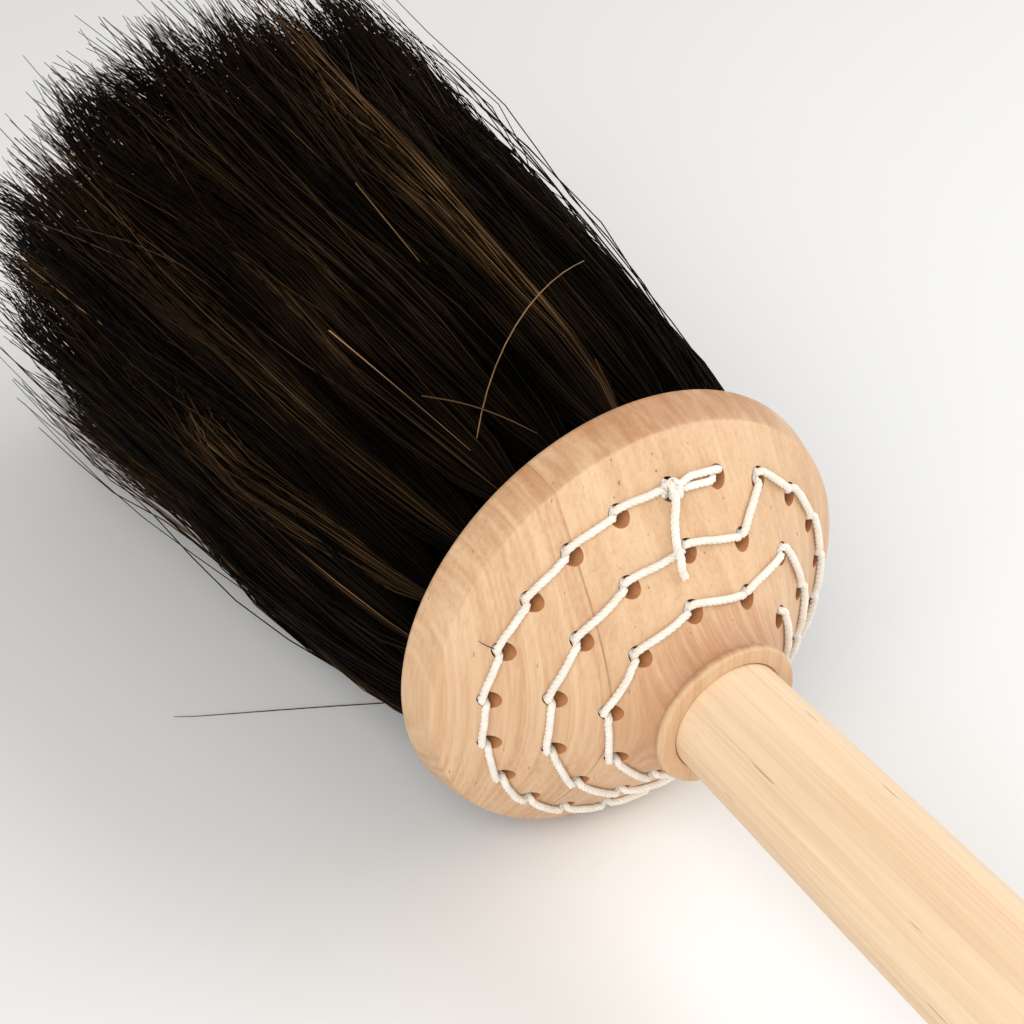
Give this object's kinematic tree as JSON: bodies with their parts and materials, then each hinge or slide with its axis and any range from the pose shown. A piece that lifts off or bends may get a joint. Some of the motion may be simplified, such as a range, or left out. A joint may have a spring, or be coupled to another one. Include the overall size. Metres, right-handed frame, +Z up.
{
  "type": "bee brush",
  "caption": "Round hand-drawn bee brush: turned birch head, straight birch handle and long dark horsehair bundles stitched in with white twine; for sweeping bees off combs or dusting.",
  "frame": {"origin": "middle of the brush's footprint on the surface that it lies on", "axes": "+X from the handle's end towards the hair tips, +Z up from the surface; the brush's own axis rises 1.5 degrees towards the hair"},
  "size_m": [0.4422, 0.1378, 0.1279],
  "materials": {
    "birch_head": "oiled, satin, fine straight grain",
    "birch_handle": "oiled, satin, lengthwise grain",
    "twine": "laid cotton twine, matte",
    "horsehair": "natural black-brown horsehair, soft gloss"
  },
  "bodies": {
    "root": {"head_block": "birch_head", "handle": "birch_handle", "stitching_twine": "twine", "start_knot": "twine", "twine_tail": "twine", "tuft_outer_01": "horsehair", "tuft_outer_02": "horsehair", "tuft_outer_03": "horsehair", "tuft_outer_04": "horsehair", "tuft_outer_05": "horsehair", "tuft_outer_06": "horsehair", "tuft_outer_07": "horsehair", "tuft_outer_08": "horsehair", "tuft_outer_09": "horsehair", "tuft_outer_10": "horsehair", "tuft_outer_11": "horsehair", "tuft_outer_12": "horsehair", "tuft_outer_13": "horsehair", "tuft_outer_14": "horsehair", "tuft_outer_15": "horsehair", "tuft_outer_16": "horsehair", "tuft_outer_17": "horsehair", "tuft_outer_18": "horsehair", "tuft_outer_19": "horsehair", "tuft_outer_20": "horsehair", "tuft_outer_21": "horsehair", "tuft_outer_22": "horsehair", "tuft_middle_01": "horsehair", "tuft_middle_02": "horsehair", "tuft_middle_03": "horsehair", "tuft_middle_04": "horsehair", "tuft_middle_05": "horsehair", "tuft_middle_06": "horsehair", "tuft_middle_07": "horsehair", "tuft_middle_08": "horsehair", "tuft_middle_09": "horsehair", "tuft_middle_10": "horsehair", "tuft_middle_11": "horsehair", "tuft_middle_12": "horsehair", "tuft_middle_13": "horsehair", "tuft_middle_14": "horsehair", "tuft_inner_01": "horsehair", "tuft_inner_02": "horsehair", "tuft_inner_03": "horsehair", "tuft_inner_04": "horsehair", "tuft_inner_05": "horsehair", "tuft_inner_06": "horsehair", "tuft_inner_07": "horsehair", "tuft_inner_08": "horsehair", "tuft_inner_09": "horsehair", "tuft_inner_10": "horsehair"}
  },
  "joints": []
}
